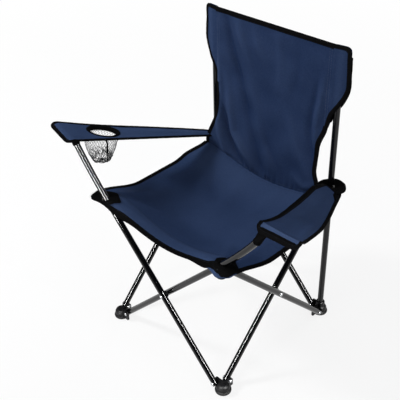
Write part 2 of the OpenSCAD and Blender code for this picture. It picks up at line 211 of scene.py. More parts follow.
def woven(name, dark, light, rough, pitch, relief):
    """Plain woven cloth: threads over and under, with slow and fine changes of tone."""
    n = Look(name, dark, rough, 0.0, 0.01)
    uv = n.coords("UV")
    o = n.coords("Object")
    # A wave texture of scale 1 runs through 20 radians in a metre
    scale = math.pi * 2 / pitch / 20
    weave = n.math("MULTIPLY", n.math("ADD", n.wave(uv, scale, "X"), n.wave(uv, scale, "Y")), 0.5)
    slow = n.noise(o, 7, 4, 0.55)
    fine = n.noise(o, 260, 3, 0.6)
    tone = n.math("ADD", n.math("MULTIPLY", slow, 0.55), n.math("MULTIPLY", fine, 0.45))
    tone = n.math("ADD", tone, n.math("MULTIPLY", n.math("SUBTRACT", weave, 0.5), 0.22))
    # The tone attribute adds each piece's painted light and shade to the cloth's own tone.
    paint = n.add("ShaderNodeAttribute", attribute_name="tone")
    tone = n.math("ADD", n.remap(tone, 0.3, 0.72, 0, 1), paint.outputs["Fac"])
    n.colour(tone, dark, light).clamp_factor = False
    n.link(n.remap(slow, 0.3, 0.7, rough - 0.06, rough + 0.08), n.bsdf.inputs["Roughness"])
    n.bump(n.math("ADD", weave, n.math("MULTIPLY", fine, 0.6)), relief, pitch * 0.35)
    return n.mat


ENAMEL, PLASTIC, STEEL = enamel(), plastic(), steel()
# Name, dark and light thread, roughness, the weave's pitch in metres and its relief
NAVY, BINDING, PALE_THREAD, THREAD, NET = (woven(*values) for values in (
    ("navy_cloth", (0.0135, 0.0265, 0.0710), (0.0245, 0.0430, 0.1010), 0.6, 0.0009, 0.35),
    ("binding_tape", (0.0016, 0.0016, 0.0018), (0.0045, 0.0045, 0.0050), 0.7, 0.0014, 0.5),
    ("pale_thread", (0.040, 0.055, 0.100), (0.085, 0.105, 0.160), 0.65, 0.0005, 0.3),
    ("thread", (0.012, 0.013, 0.016), (0.022, 0.024, 0.030), 0.65, 0.0005, 0.3),
    ("net_strand", (0.035, 0.036, 0.040), (0.10, 0.105, 0.115), 0.6, 0.0006, 0.3)))
LOOKS = {"tube_enamel": ENAMEL, "black_plastic": PLASTIC, "rivet_metal": STEEL,
         "navy_fabric": NAVY, "black_binding": BINDING, "net": NET}
for row in frame["record"]["subparts"]:
    o = bpy.data.objects.get(row["node"])
    if o is None:
        o = next(x for x in bpy.data.objects if x.get("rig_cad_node") == row["node"])
    look = LOOKS[row["material_slot"]]
    for s in o.material_slots:
        s.material = look
    if not o.material_slots:
        o.data.materials.append(look)

# ---- cloth made in code, in millimetres

MM = 0.001
CLOTH = 1.2         # thickness of cloth
CORNER = 198.0      # each corner's post or joint stands this far out, along X and along Y


def smooth(t):
    """0 to 1 as t goes from 0 to 1, level at both ends."""
    t = np.clip(t, 0.0, 1.0)
    return t * t * (3 - 2 * t)


def mix(a, b, t):
    return a + (b - a) * t


def pairs(a, b):
    """Flat points from two arrays of coordinates."""
    return np.stack([a, b], 1)


def around(n):
    """n even angles round a circle."""
    return np.arange(n) * 2 * math.pi / n


def bump(t, middle, reach):
    """1 at the middle, falling smoothly to 0 at reach to either side."""
    return 1 - smooth(np.abs(t - middle) / reach)


def blunt(near, r):
    """How far a rounded corner of radius r cuts in, at a distance near from the end."""
    return r - np.sqrt(np.maximum(r ** 2 - np.clip(r - near, 0, r) ** 2, 0))


def crease(a, b, points, width, height):
    """Height of a soft fold along the line through the points."""
    best = np.zeros(np.shape(a))
    legs = len(points) - 1
    for i in range(legs):
        (p0, p1), (q0, q1) = points[i], points[i + 1]
        d0, d1 = q0 - p0, q1 - p1
        t = np.clip(((a - p0) * d0 + (b - p1) * d1) / (d0 * d0 + d1 * d1), 0, 1)
        away = (a - p0 - t * d0) ** 2 + (b - p1 - t * d1) ** 2
        along = (i + t) / legs
        best = np.maximum(best, np.exp(-away / width ** 2) * np.sin(math.pi * mix(0.06, 0.94, along)) ** 0.7)
    return height * best


def ripple(a, b, scale, seed):
    """Slow uneven waves, about -1 to 1, the same each run."""
    draw = np.random.default_rng(seed)
    total = 0.0
    for i in range(7):
        turn, phase, k = draw.uniform(0, math.pi), draw.uniform(0, 6.28), draw.uniform(0.6, 1.7) / scale
        total = total + np.sin((a * math.cos(turn) + b * math.sin(turn)) * k * 6.28 + phase)
    return total / 3.6


def normals(at, a, b):
    """Unit normals of the surface at(a, b)."""
    step = 0.8
    n = np.cross(at(a + step, b) - at(a - step, b), at(a, b + step) - at(a, b - step))
    return n / np.linalg.norm(n, axis=-1, keepdims=True)


def mesh(name, points, faces, uv, look, tone=None):
    """Object from points in millimetres, with flat coordinates and the tone, painted light and shade, that
    its look reads.
    """
    m = bpy.data.meshes.new(name)
    m.from_pydata((np.asarray(points) * MM).tolist(), [], faces)
    m.validate()
    layer = m.uv_layers.new(name="metres")
    index = np.empty(len(m.loops), int)
    m.loops.foreach_get("vertex_index", index)
    layer.data.foreach_set("uv", (np.asarray(uv)[index] * MM).ravel())
    paint = m.attributes.new("tone", "FLOAT", "POINT")
    paint.data.foreach_set("value", np.zeros(len(points)) if tone is None else np.asarray(tone).ravel())
    m.materials.append(look)
    m.polygons.foreach_set("use_smooth", [True] * len(m.polygons))
    m.set_sharp_from_angle(angle=math.radians(40))
    o = bpy.data.objects.new(name, m)
    bpy.context.scene.collection.objects.link(o)
    return o


def place(o, ride, squash=None, stands_for=()):
    """Says a piece's body and what it stands for, and gives it a mesh of its own where a squash is given."""
    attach(o, ride)
    if stands_for:
        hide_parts(*stands_for)
    if squash:
        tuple(squash[0])
        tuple(squash[1])
        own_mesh(o)
    return o


def lattice(rows, cols, round_rows=True, round_cols=True, flip=False):
    """Faces of a grid of points, which may close on itself along its rows and its columns."""
    faces = []
    for i in range(rows if round_rows else rows - 1):
        here, ahead = i * cols, (i + 1) % rows * cols
        for j in range(cols if round_cols else cols - 1):
            k = (j + 1) % cols
            corners = [here + j, here + k, ahead + k, ahead + j]
            faces.append([corners[0], *corners[:0:-1]] if flip else corners)
    return faces


def sewn(pieces, ride, squash=None):
    """Tapes, stitches and eyelets that go with a sheet."""
    return [place(o, ride, squash) for o in pieces]


def within(a, b, outline):
    """True for each flat point inside the closed outline."""
    hit = np.zeros(np.shape(a), bool)
    for (p0, p1), (q0, q1) in zip(outline, np.roll(outline, -1, 0)):
        if p1 != q1:
            hit ^= ((p1 > b) != (q1 > b)) & (a < p0 + (q0 - p0) * (b - p1) / (q1 - p1))
    return hit


def onto(a, b, outline):
    """The nearest points on the closed outline."""
    p, q = outline[None], np.roll(outline, -1, 0)[None]
    here = np.stack([a, b], 1)[:, None]
    d = q - p
    t = np.clip(((here - p) * d).sum(-1) / (d * d).sum(-1), 0, 1)
    near = p + t[..., None] * d
    best = ((near - here) ** 2).sum(-1).argmin(1)
    return near[np.arange(len(a)), best].T


def loose_edges(quads):
    """Directed edges that only one face uses."""
    edges = {}
    for q in quads.tolist():
        for pair in zip(q, q[1:] + q[:1]):
            if edges.pop(pair[::-1], None) is None:
                edges[pair] = True
    return list(edges)


def cloth(name, at, a, b, look, holes=(), tone=None, thick=CLOTH, outline=None):
    """Closed sheet over the grid of flat coordinates a, b, with its holes (middle a, b and radii) cut out,
    and trimmed to an outline where one is given."""
    rows, cols = a.shape
    a, b = a.ravel().copy(), b.ravel().copy()
    quads = np.array(lattice(rows, cols, False, False))
    if outline is not None:
        quads = quads[within(a[quads].mean(1), b[quads].mean(1), outline)]
        rim = np.unique(np.array(loose_edges(quads)))
        a[rim], b[rim] = onto(a[rim], b[rim], outline)
    for ca, cb, ra, rb in holes:
        inside = ((a[quads].mean(1) - ca) / ra) ** 2 + ((b[quads].mean(1) - cb) / rb) ** 2 < 1
        edge = np.intersect1d(quads[inside], quads[~inside])
        away = np.sqrt(((a[edge] - ca) / ra) ** 2 + ((b[edge] - cb) / rb) ** 2)
        a[edge], b[edge] = ca + (a[edge] - ca) / away, cb + (b[edge] - cb) / away
        quads = quads[~inside]
    used = np.unique(quads)
    renumber = np.zeros(rows * cols, int)
    renumber[used] = np.arange(len(used))
    quads, a, b = renumber[quads], a[used], b[used]
    p, n = at(a, b), normals(at, a, b)
    count = len(used)
    faces = quads.tolist() + [[v + count for v in q[::-1]] for q in quads.tolist()]
    faces += [[v, u, u + count, v + count] for u, v in loose_edges(quads)]
    shade = None if tone is None else np.tile(tone(a, b), 2)
    return mesh(name, np.concatenate([p + n * thick / 2, p - n * thick / 2]), faces,
                np.tile(pairs(a, b), (2, 1)), look, shade)


def run_length(line):
    """Distance along the line at each of its points."""
    return np.concatenate([[0], np.cumsum(np.linalg.norm(np.diff(line, axis=0), axis=1))])


def resample(line, step, closed=False):
    """The same line with points about a step apart."""
    line = np.asarray(line, float)
    if closed:
        line = np.concatenate([line, line[:1]])
    s = run_length(line)
    n = max(2, int(round(s[-1] / step)) + 1)
    t = np.linspace(0, s[-1], n)
    out = np.stack([np.interp(t, s, line[:, k]) for k in range(line.shape[1])], 1)
    return out[:-1] if closed else out


def rounded(line, times, closed=False):
    """The same line with its corners eased, by averaging neighbours a number of times."""
    out = line.copy()
    for _ in range(times):
        if closed:
            out = (np.roll(out, 1, 0) + out + np.roll(out, -1, 0)) / 3
        else:
            out[1:-1] = (out[:-2] + out[1:-1] + out[2:]) / 3
    return out


def inward(line, closed):
    """Unit direction to the left of the line, in flat coordinates."""
    if closed:
        t = np.roll(line, -1, 0) - np.roll(line, 1, 0)
    else:
        t = np.gradient(line, axis=0)
    t = t / np.maximum(np.linalg.norm(t, axis=1, keepdims=True), 1e-9)
    return np.stack([-t[:, 1], t[:, 0]], 1)


def tape(name, at, line, width=12.0, closed=False, thick=CLOTH, body=0.85):
    """Binding tape folded over a sheet's edge, which is the line, with the sheet on its left."""
    line = resample(line, 4.0, closed)
    side = inward(line, closed)
    n = len(line)
    width = np.atleast_1d(width)
    wide = np.interp(np.linspace(0, 1, n), np.linspace(0, 1, len(width)), width)
    pucker = 0.14 * np.sin(np.arange(n) * 1.9) + 0.10 * np.sin(np.arange(n) * 0.83 + 1)
    skin, top = thick / 2, thick / 2 + body
    # Section from the tape's inner edge to the sheet's edge: share of the width, step inward from there,
    # and height over the sheet's middle. The underside is its mirror image.
    section = [(1, -0.75, skin * 0.6), (1, -0.1, top - 0.25), (1, -0.9, top), (0.5, 0, top + 0.08),
               (0, 2.6, top), (0, -0.3, top - 0.1), (0, -1.0, top * 0.62), (0, -1.3, 0)]
    section += [(share, step, -height) for share, step, height in section[-2::-1]]
    rings = []
    for share, step, height in section:
        a, b = (line + side * (share * wide + step)[:, None]).T
        lift = height + np.sign(height) * (pucker if abs(height) > skin else 0)
        rings.append(at(a, b) + normals(at, a, b) * np.reshape(lift, (-1, 1)))
    m = len(section)
    faces = lattice(m, n, True, closed)
    if not closed:
        faces.append([k * n for k in range(m)])
        faces.append([k * n + n - 1 for k in range(m)][::-1])
    uv = pairs(np.tile(run_length(line), m), np.repeat(np.arange(m) * 1.6, n))
    return mesh(name, np.array(rings).reshape(-1, 3), faces, uv, BINDING)


class Thread:
    """Gathers rows of stitches, each one a small lens of thread, into one mesh."""

    def __init__(self):
        self.points, self.faces = [], []

    def row(self, at, line, inset=0.0, lift=0.7, pitch=3.8, r=0.34, closed=False):
        line = resample(line, pitch, closed)
        line = line + inward(line, closed) * inset
        side = inward(line, closed)
        ahead = np.stack([side[:, 1], -side[:, 0]], 1)
        # A stitch 2.7 mm long: two ends, four points on its sides and two on its crown
        lens = [(-0.5, 0), (-0.25, r), (-0.25, -r), (0.25, r), (0.25, -r), (0.5, 0), (-0.25, 0), (0.25, 0)]
        flat = np.stack([line + ahead * 2.7 * d + side * w for d, w in lens], 1)
        up = np.array([-0.1, 0.05, 0.05, 0.05, 0.05, -0.1, 0.34, 0.34]) * (1 if lift > 0 else -1)
        a, b = flat[..., 0], flat[..., 1]
        q = at(a, b) + normals(at, a, b) * (lift + up)[None, :, None]
        for k in range(len(self.points) * 8, (len(self.points) + len(q)) * 8, 8):
            self.faces += [[k, k + 6, k + 1], [k, k + 2, k + 6], [k + 1, k + 6, k + 7, k + 3],
                           [k + 2, k + 4, k + 7, k + 6], [k + 5, k + 3, k + 7], [k + 5, k + 7, k + 4],
                           [k, k + 1, k + 3, k + 5, k + 4, k + 2]]
        self.points += list(q)

    def hem(self, at, line, inset=9.6, lift=1.6, closed=False):
        """A row through the tape along a sheet's edge."""
        self.row(at, line, inset, lift, r=0.3, closed=closed)

    def seam(self, at, line, closed=False):
        """A row through the cloth alone."""
        self.row(at, line, lift=0.62, closed=closed)

    def make(self, name, look=THREAD):
        p = np.array(self.points).reshape(-1, 3)
        return mesh(name, p, self.faces, p[:, :2], look)


def spread(n, ends):
    """n + 1 values from 0 to 1, closer together near both ends."""
    t = np.linspace(0, 1, n + 1)
    return t - ends * np.sin(2 * math.pi * t) / (2 * math.pi)


def round_hole(hole, out, f):
    """Flat coordinates at the angle f round a hole, out from its edge."""
    ca, cb, ra, rb = hole
    return ca + (ra + out) * np.cos(f), cb + (rb + out) * np.sin(f)


def ring(name, at, hole, section, n, grain):
    """Solid rim round a hole; its section is out from the hole's edge and up from the sheet."""
    m = len(section)
    f, (out, up) = np.repeat(around(n), m), np.tile(section, (n, 1)).T
    a, b = round_hole(hole, out, f)
    uv = pairs(f * grain[0], np.tile(np.arange(m) * grain[1], n))
    return mesh(name, at(a, b) + normals(at, a, b) * up[:, None], lattice(n, m, flip=True), uv, BINDING)


def grid_steps(rows, cols, row_ends, col_ends):
    """Steps from 0 to 1 down a grid's rows, and across its columns."""
    return spread(rows, row_ends)[:, None], spread(cols, col_ends)[None, :]


def side_lines(a, b):
    """The grid's left and right edges, each with the sheet on its left."""
    return pairs(a[::-1, 0], b[::-1, 0]), pairs(a[:, -1], b[:, -1])


def border(a, b):
    """The grid's outline as one closed line, the sheet on its left."""
    return np.concatenate([pairs(a[0, :-1], b[0, :-1]), pairs(a[:-1, -1], b[:-1, -1]),
                           pairs(a[-1, :0:-1], b[-1, :0:-1]), pairs(a[:0:-1, 0], b[:0:-1, 0])])


# ---- seat

# Each fold: its line, its half width and its height
SEAT_FOLDS = [
    ([(-196, -196), (-150, -140), (-95, -92)], 13, 2.6), ([(-205, -182), (-190, -110), (-168, -40)], 12, 2.2),
    ([(-188, -205), (-120, -178), (-52, -168)], 11, 1.8), ([(196, -186), (150, -130), (105, -70)], 14, 2.4),
    ([(205, -172), (196, -100), (178, -20)], 12, 2.2), ([(180, -196), (120, -170), (60, -160)], 11, 1.6),
    ([(-196, 150), (-150, 96), (-90, 30)], 16, 2.4), ([(196, 150), (150, 92), (96, 30)], 16, 2.4),
    ([(-60, 160), (-40, 90), (-30, 10)], 18, 1.6), ([(70, 160), (52, 80), (40, 0)], 18, 1.5),
    ([(-175, 160), (-185, 90), (-186, 20)], 10, 1.4), ([(176, 160), (186, 90), (186, 20)], 10, 1.4)]
SEAM_Y = 168.0      # the seat is sewn to the back here
SEAT_TIP = 234.0    # its front corners reach this far to the sides
SEAT_Z = 416.0      # height of its corners
# How cloth gathers up as the chair folds: along what, towards where in metres, and the share left
SEAT_IN = ((1, 0, 0), (0.168, 0, 0), 0.146)


def seat_half(y):
    """Half width of the seat."""
    return 238 - 5 * smooth((-y - 200) / 25) - 23 * smooth((y - 100) / 70)


def seat_front(x):
    """The seat's front edge: a bow, further forward at its left tip and with a lip near its right one."""
    side = x / SEAT_TIP
    return -200 - 24 * side ** 2 + 8 * side - 5 * bump(x, 202, 36)


def seat_level(x, y):
    """Height of the seat without its folds: a hollow between the taut sides."""
    hollow = np.maximum(0, 1 - (x / 190) ** 2) ** 1.5
    edge = 1 - smooth((np.abs(y) - 60) / 150)
    return SEAT_Z - 40 * edge - mix(50, 30, (y + 200) / 368) * hollow


def seat_fold(x, y):
    return 1.15 * sum(crease(x, y, *f) for f in SEAT_FOLDS) + 0.5 * ripple(x, y, 130, 3)


def seat_at(x, y):
    """Middle of the seat's cloth."""
    inset = y - seat_front(x)
    calm = smooth((238 - np.abs(x)) / 30) * smooth(inset / 20) * smooth((SEAM_Y - y) / 14 + 0.3)
    wave = np.sin(x / 2.5 + 2.2 * np.sin(x / 21))
    gather = np.exp(-np.maximum(SEAM_Y - y, 0) / 16) * bump(x, -20, 190) * wave
    droop = smooth(1 - inset / 15) * (3 + 11 * bump(np.abs(x), 150, 62) + 15 * bump(x, 198, 38))
    seam = (0.5 * bump(inset, 48, 5) - 0.9 * bump(inset, 50, 1.8)) * smooth((200 - np.abs(x)) / 30)
    z = seat_level(x, y) - 1.4 + seat_fold(x, y) * calm + 1.1 * gather - droop + seam
    return np.stack([x, y, z], -1)


# The front legs go on past the seat as arm posts, in a slow bend
LEG_LEAN = math.radians(43.264)
BEND = math.radians(7.6)
BEND_START = 535.6
BEND_LENGTH = 164.0
LEG_PIVOT = (176.0, 20.0)
LEG_Y = {-1: -207.0, 1: -189.0}
POST_HOLE = (11.6, 8.8)


def arm_post(side, s):
    """Point and direction on an arm post's axis, s past the bend's start; side is -1 left, 1 right."""
    radius = BEND_LENGTH / BEND
    f = BEND * s / BEND_LENGTH
    x, z = radius * (1 - math.cos(f)), BEND_START + radius * math.sin(f)
    out = (x * math.cos(LEG_LEAN) - z * math.sin(LEG_LEAN), x * math.sin(LEG_LEAN) + z * math.cos(LEG_LEAN))
    point = np.array([-side * (LEG_PIVOT[0] + out[0]), LEG_Y[side], LEG_PIVOT[1] + out[1]])
    return point, np.array([-side * math.sin(f - LEG_LEAN), 0.0, math.cos(f - LEG_LEAN)])


def post_hole(side):
    """Where an arm post comes up through the seat: middle and radii of its eyelet."""
    s = 0.0
    for _ in range(6):
        p, way = arm_post(side, s)
        s += (float(seat_level(p[0], p[1])) - p[2]) / way[2]
    return p[0], p[1], *POST_HOLE


def seat_painted_light(x, y):
    """Painted light and shade: raised folds, the front hem, the right lip and the rear painted paler; the
    fold hollows and a band behind the hem painted darker.
    """
    inset = y - seat_front(x)
    lip = smooth((x - 150) / 30) * (1 - smooth((inset - 8) / 2))
    hem = 0.75 * (1 - smooth((inset - 49) / 3)) - 0.12 * bump(inset, 85, 60)
    return hem + 0.9 * lip + 0.06 * seat_fold(x, y) + 0.4 + 0.5 * smooth((y - 70) / 80)


def seat_grid(y_low, y_high, n):
    """Grid from y_low, or from the front edge where that is None, to y_high, blunt at the front tips."""
    t, u = grid_steps(n, 112, 0, 0.35)
    side = u * 2 - 1
    front = seat_front(side * SEAT_TIP)
    y = mix(front if y_low is None else y_low, y_high, t) + 0 * side
    return side * (seat_half(y) - blunt(y - front, 9)), y


def make_seat():
    a, b = seat_grid(None, 0.0, 52)
    front = cloth("seat_front_cloth", seat_at, a, b, NAVY, [post_hole(-1), post_hole(1)], seat_painted_light)
    left, right = side_lines(a, b)
    edge = np.concatenate([left[:-1], pairs(a[0], b[0]), right[1:]])
    edge = rounded(resample(edge, 4.0), 3)
    edge[0], edge[-1] = left[0], right[-1]
    a, b = seat_grid(0.0, SEAM_Y, 42)
    rear = cloth("seat_rear_cloth", seat_at, a, b, NAVY, (), seat_painted_light)
    sides = side_lines(a, b)
    # Near the right tip the tape is sewn back from the edge and a lip of cloth shows below it
    lip = smooth((edge[:, 0] - 150) / 30) * smooth((-188 - edge[:, 1]) / 12)
    edge = edge + inward(edge, False) * (7.5 * lip)[:, None]
    # The tape is narrower round the left tip
    wide = np.interp(np.linspace(0, 1, len(edge)), [0, 0.22, 0.27, 0.30, 0.36, 1], [12, 12, 7, 7, 12, 12])
    front_tape = tape("seat_front_binding", seat_at, edge, wide)
    rear_tapes = [tape(f"seat_rear_binding_{k}", seat_at, s) for k, s in zip(("left", "right"), sides)]
    thread = Thread()
    thread.hem(seat_at, edge)
    x = np.linspace(-190, 190, 120)
    for off in (47.2, 53.5):
        thread.seam(seat_at, pairs(x, seat_front(x) + off))
    front_thread = thread.make("seat_front_stitching")
    thread = Thread()
    for s in sides:
        thread.hem(seat_at, s)
    x = np.linspace(-206, 206, 100)
    thread.seam(seat_at, pairs(x, 0 * x + SEAM_Y - 5))
    rear_thread = thread.make("seat_rear_stitching")
    place(front, "front_seat", SEAT_IN, ("seat_front",))
    place(rear, "rear_seat", SEAT_IN, ("seat_rear",))
    sewn([front_tape, front_thread], "front_seat", SEAT_IN)
    sewn(rear_tapes + [rear_thread], "rear_seat", SEAT_IN)
    patches = corner_patch(1) + corner_patch(-1)


def corner_patch(side):
    """Black doubling sewn over a front corner, from its tip to behind the arm post, with an eyelet for it."""
    name = "corner_patch_right" if side > 0 else "corner_patch_left"
    tip_y = float(seat_front(np.array(side * SEAT_TIP)))
    corners = np.array([[side * x, tip_y + y] for x, y in
                        ((234, 3), (212, 1.5), (172, 22), (160, 44), (196, 62), (236, 38))])
    outline = rounded(resample(corners[::side], 3.0, True), 3, True)

    def at(x, y):
        return seat_at(x, y) + normals(seat_at, x, y) * (1.35 + 0.25 * ripple(x, y, 26, 8))[..., None]

    hole = post_hole(side)
    o = cloth(name + "_cloth", at, *patch_grid(outline, 2.4), BINDING, [hole], thick=1.1, outline=outline)
    thread = Thread()
    thread.row(at, outline, inset=3.0, lift=0.6, pitch=3.4, r=0.3, closed=True)
    place(o, "front_seat", SEAT_IN, (name,))
    stitches = thread.make(name + "_stitching")
    return [o] + sewn([stitches, eyelet(name + "_eyelet", at, hole)], "front_seat", SEAT_IN)


def eyelet(name, at, hole):
    """Rolled rim sewn round a hole in a sheet."""
    g = around(10)
    return ring(name, at, hole, pairs(0.4 + 1.5 * np.cos(g), 1.2 * np.sin(g)), 48, (12, 0.88))


def patch_grid(outline, step):
    """Even grid over the box round an outline."""
    low, high = outline.min(0), outline.max(0)
    nx, ny = (int(math.ceil(d / step)) for d in high - low)
    x, y = np.linspace(low[0], high[0], nx + 1), np.linspace(low[1], high[1], ny + 1)
    return np.meshgrid(x, y)


# ---- back and sleeves

BACK_TOP = 805.0
BACK_Y = 187.2      # the cloth lies on the front of the posts here
PANEL = 182.8       # half width between the seams of the sleeves
SLEEVE_LOW = 598.0
BACK_IN = ((1, 0, 0), (0.183, 0, 0), 0.191)
BACK_FOLDS = [
    ([(-196, 752), (-184, 660), (-172, 560), (-168, 500)], 15, 5.0),
    ([(-150, 800), (-131, 714), (-107, 656), (-70, 560)], 13, -4.5),
    ([(-112, 795), (-92, 743), (-62, 680)], 13, 3.2), ([(-60, 800), (-40, 740), (-10, 690)], 12, 1.8),
    ([(-176, 520), (-152, 446), (-128, 390)], 13, 6.0),
    ([(-168, 560), (-134, 480), (-104, 424), (-70, 385)], 10, -5.0),
    ([(-150, 640), (-112, 478), (-54, 421), (-32, 390)], 13, 5.5),
    ([(-90, 600), (-50, 500), (-14, 420), (0, 392)], 12, -3.0),
    ([(-60, 640), (-16, 520), (22, 430)], 14, 2.6),
    ([(165, 720), (155, 646), (150, 590), (158, 540)], 12, 4.0),
    ([(146, 700), (134, 620), (132, 560)], 10, -2.6),
    ([(60, 600), (96, 520), (150, 440)], 14, 2.2), ([(120, 600), (146, 520), (172, 450)], 11, -2.4),
    ([(20, 790), (34, 720), (30, 650)], 13, 1.8), ([(90, 780), (84, 700), (70, 640)], 14, -1.6),
    ([(100, 430), (140, 415), (176, 440)], 10, 2.4), ([(-30, 560), (10, 480), (60, 420)], 11, -2.0)]


def face_y(z):
    """How far forward the back's cloth comes, lower down."""
    return -18 * smooth((640 - z) / 230)


def back_half(x, z):
    """Half width of the back between its side edges below the sleeves, on the side of x."""
    right = PANEL - 14.8 * smooth((600 - z) / 60) + 26 * smooth((480 - z) / 75)
    left = PANEL - 4 * smooth((600 - z) / 40) + 32 * smooth((520 - z) / 110)
    return np.where(x > 0, right, left)


def back_fold(x, z):
    return 1.9 * sum(crease(x, z, *f) for f in BACK_FOLDS) + 1.8 * ripple(x, z, 110, 5)


def tucks(x, z):
    """Small gathers just above the seam between back and seat."""
    above = np.maximum(z - seat_level(x, SEAM_Y), 0)
    wave = np.sin(x / 2.7 + 2.2 * np.sin(x / 21)) * (0.6 + 0.4 * np.sin(x / 13))
    return np.exp(-above / 17) * bump(x, 0, 190) * wave * smooth(above / 6)


def back_painted_light(x, z):
    """Painted light and shade: raised folds and the tucks' ridges painted paler, the hollows painted darker,
    and the left side painted lighter.
    """
    folds = np.clip(0.085 * back_fold(x, z), -0.6, 1.1)
    return folds + 0.3 * smooth((-60 - x) / 120) + 0.9 * tucks(x, z) - 0.1


def raised(x, z):
    """The right end of the back's top edge is pulled a little higher than the left."""
    return 10 * np.clip((x + 190) / 410, 0, 1) * smooth((z - 640) / 160)


def back_at(x, z):
    """Middle of the back's cloth."""
    calm = smooth((back_half(x, z) - np.abs(x)) / 22) * smooth((BACK_TOP - z) / 26)
    hold = smooth((z - seat_level(x, SEAM_Y)) / 12)
    y = BACK_Y + face_y(z) - back_fold(x, z) * calm * hold - 4.5 * tucks(x, z)
    return np.stack([x, y, z + raised(x, z)], -1)


def sleeve_reach(z):
    """How far out the right sleeve's cloth reaches at height z."""
    low = np.interp(z, [598, 612, 625, 637, 648, 660, 672, 682, 692, 702, 712, 740],
                    [183, 185, 187.5, 191.5, 198.5, 206.5, 213.5, 219, 223.5, 227, 229, 229])
    return low - blunt(BACK_TOP - z, 18) - 4 * smooth((z - 700) / 90)


def sleeve_front_at(x, z):
    """Front layer of the right sleeve: over the post, then back to the outer edge."""
    y = np.interp(x, [160, 183, 190, 198, 206, 216, 229, 240],
                  [BACK_Y, BACK_Y, 188.1, 188.6, 190.2, 193.6, 197.2, 199.8])
    y = y + face_y(z) * (1 - smooth((x - 183) / 14)) - 0.4 * bump(x, 187, 4)
    y = y + 0.5 * ripple(x, z, 60, 9) * smooth((x - 184) / 10) * smooth((x - 202) / 8)
    return np.stack([x, y, z], -1)


def sleeve_rear_at(x, z):
    """Rear layer of the right sleeve, closing over the post's cap at the top."""
    far = np.interp(x, [178, 183, 186, 190, 194, 198, 204, 210, 218, 229, 240],
                    [188.6, 188.6, 196, 203.4, 206.6, 207.4, 206.9, 205.2, 202.4, 199.4, 200.6])
    near = sleeve_front_at(x, z)[..., 1] + 1.4
    close = np.clip((805.5 - z) / 9, 0, 1) ** 0.8
    y = np.maximum(near, near + (far - near) * close) + 0.4 * ripple(x, z, 50, 4) * smooth((x - 206) / 8)
    return np.stack([x, y, z], -1)


def on_side(at, k):
    """The right sleeve's surface, or its mirror image for the left one."""
    return lambda x, z: at(k * x, z) * np.array([k, 1, 1]) + raised(x, z)[..., None] * np.array([0, 0, 1])


# Painted highlight: the sleeve's front layer painted paler where it rounds over the post, and a little paler
# all over.
def sleeve_painted_highlight(x, z):
    return 0.15 + 0.55 * bump(np.abs(x), 204, 15)


def make_back():
    t, u = grid_steps(120, 96, 0.2, 0.3)
    u = u * 2 - 1
    z = mix(seat_level(u * 206, SEAM_Y) - 5, BACK_TOP, t)
    x = u * back_half(u, z)
    panel = cloth("back_cloth", back_at, x, z, NAVY, tone=back_painted_light)
    left, right = (line[line[:, 1] < 602] for line in side_lines(x, z))
    edges = {"right": right, "left": left, "top": np.array([[PANEL, BACK_TOP], [-PANEL, BACK_TOP]])}
    bound = [tape(f"back_binding_{k}", back_at, line) for k, line in edges.items()]
    thread = Thread()
    for line in edges.values():
        thread.hem(back_at, line)
    bound.append(thread.make("back_edge_stitching"))
    thread = Thread()
    for out in (PANEL - 4, PANEL - 10):
        for k in (-1, 1):
            thread.seam(back_at, np.array([[k * out, 604], [k * out, 796]]))
    for k in (-1, 1):
        thread.seam(back_at, np.array([[k * (PANEL - 4), 604], [k * (PANEL - 10), 604]]))
    across = np.linspace(-190, 190, 100)
    thread.seam(back_at, pairs(across, seat_level(across, SEAM_Y) + 5))
    bound.append(thread.make("back_stitching", PALE_THREAD))
    place(panel, "rear_right_foot", BACK_IN, ("back_panel",))
    sewn(bound, "rear_right_foot", BACK_IN)
    for side, k in (("right", 1), ("left", -1)):
        sleeve(side, k)


def sleeve(side, k):
    """Loop of cloth round a rear post, of a front and a rear layer sewn together at both edges."""
    body = "rear_right_foot" if k > 0 else "rear_left_foot"
    front, rear = (on_side(f, k) for f in (sleeve_front_at, sleeve_rear_at))
    t, u = grid_steps(70, 20, 0.5, 0.3)
    z = mix(SLEEVE_LOW, BACK_TOP, t) + 0 * u
    x = mix(PANEL, sleeve_reach(z), u)
    slim = x - 2.5 * smooth((z - 770) / 12) * smooth((x - 205) / 15)
    pieces = [cloth(f"sleeve_{side}_front", front, k * x[:, ::k], z[:, ::k], NAVY, tone=sleeve_painted_highlight),
              cloth(f"sleeve_{side}_rear", rear, k * slim[:, ::k], z[:, ::k], NAVY)]
    edge = pairs(x[:, -1], z[:, -1])[1:]
    top = np.linspace(edge[-1, 0], PANEL, 6)[1:]
    line = (np.concatenate([edge, pairs(top, 0 * top + BACK_TOP)]) * [k, 1])[::k]
    lower = line[(line[:, 1] < BACK_TOP - 24) & (line[:, 1] > 612)]
    bound = [tape(f"sleeve_{side}_binding", front, line, 9.0),
             tape(f"sleeve_{side}_rear_binding", rear, lower, 9.0)]
    thread = Thread()
    thread.hem(front, line, 7.0)
    thread.hem(rear, lower, 7.0, -1.6)
    bound.append(thread.make(f"sleeve_{side}_stitching"))
    place(pieces[0], body, None, (f"sleeve_{side}",))
    place(pieces[1], body)
    sewn(bound, body)


# ---- arms

ARM_LONG = 400.0    # the coordinate b runs to this at an arm's rear end


